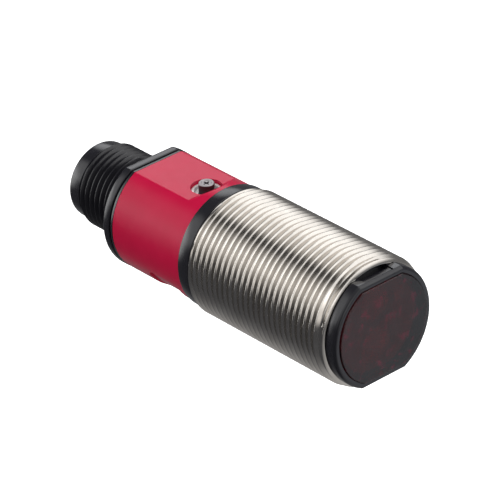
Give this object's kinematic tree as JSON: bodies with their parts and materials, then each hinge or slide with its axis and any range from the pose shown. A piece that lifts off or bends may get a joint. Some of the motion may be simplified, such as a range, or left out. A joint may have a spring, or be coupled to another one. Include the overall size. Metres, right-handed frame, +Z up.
{
  "type": "photoelectric sensor",
  "caption": "Cylindrical photoelectric sensor: threaded metal sleeve, tinted lens cover, red rear housing with a sensitivity adjuster, threaded plug connector.",
  "frame": {"origin": "on the sensing axis, halfway along the M18 thread", "axes": "+X along the sensing axis, out of the lens; +Z up through the adjuster in the rear housing's flat; +Y completes a right-handed frame"},
  "size_m": [0.0562, 0.018, 0.018],
  "materials": {
    "nickel_plate": "nickel-plated brass, satin-bright, thread cut",
    "steel_screw": "turned steel, bright",
    "red_plastic": "moulded red plastic, satin",
    "black_plastic": "moulded black plastic, satin",
    "tinted_cover": "dark red-tinted clear plastic, polished",
    "clear_plastic": "clear moulded plastic, polished",
    "rubber_seal": "black rubber",
    "gold_contact": "gold-plated brass",
    "circuit_board": "glass-epoxy board with green solder resist",
    "chip_epoxy": "moulded epoxy",
    "tantalum_yellow": "yellow resin",
    "green_resin": "green resin",
    "white_plastic": "moulded white plastic",
    "blue_plastic": "moulded blue plastic"
  },
  "bodies": {
    "housing": {"threaded_sleeve": "nickel_plate", "receiver_shield": "steel_screw", "rear_housing": "red_plastic", "front_cap": "black_plastic", "liner_ring": "black_plastic", "rear_cap": "black_plastic", "connector_shell": "black_plastic", "contact_insert": "black_plastic", "optics_carrier": "black_plastic", "lens_cover": "tinted_cover", "emitter_lens": "clear_plastic", "receiver_lens": "clear_plastic", "light_guide_left": "clear_plastic", "light_guide_right": "clear_plastic", "emitter_led": "clear_plastic", "front_seal": "rubber_seal", "rear_seal": "rubber_seal", "adjuster_seal": "rubber_seal", "contact_pin_1": "gold_contact", "contact_pin_2": "gold_contact", "contact_pin_3": "gold_contact", "contact_pin_4": "gold_contact", "board_link": "gold_contact", "optics_board": "circuit_board", "main_board": "circuit_board", "connector_board": "circuit_board", "receiver_diode": "chip_epoxy", "signal_chip": "chip_epoxy", "output_driver": "chip_epoxy", "voltage_regulator": "chip_epoxy", "smoothing_capacitor": "tantalum_yellow", "status_led_left": "tantalum_yellow", "status_led_right": "green_resin", "adjuster_bush": "white_plastic", "potentiometer_base": "blue_plastic"},
    "adjuster": {"adjuster_screw": "steel_screw", "potentiometer_wiper": "white_plastic"}
  },
  "joints": [
    {"name": "adjuster_turn", "type": "hinge", "parent": "housing", "child": "adjuster", "pos_m": [-0.01864, 0, 0.007], "axis": [0, 0, 1], "range_deg": [-135, 135]}
  ]
}
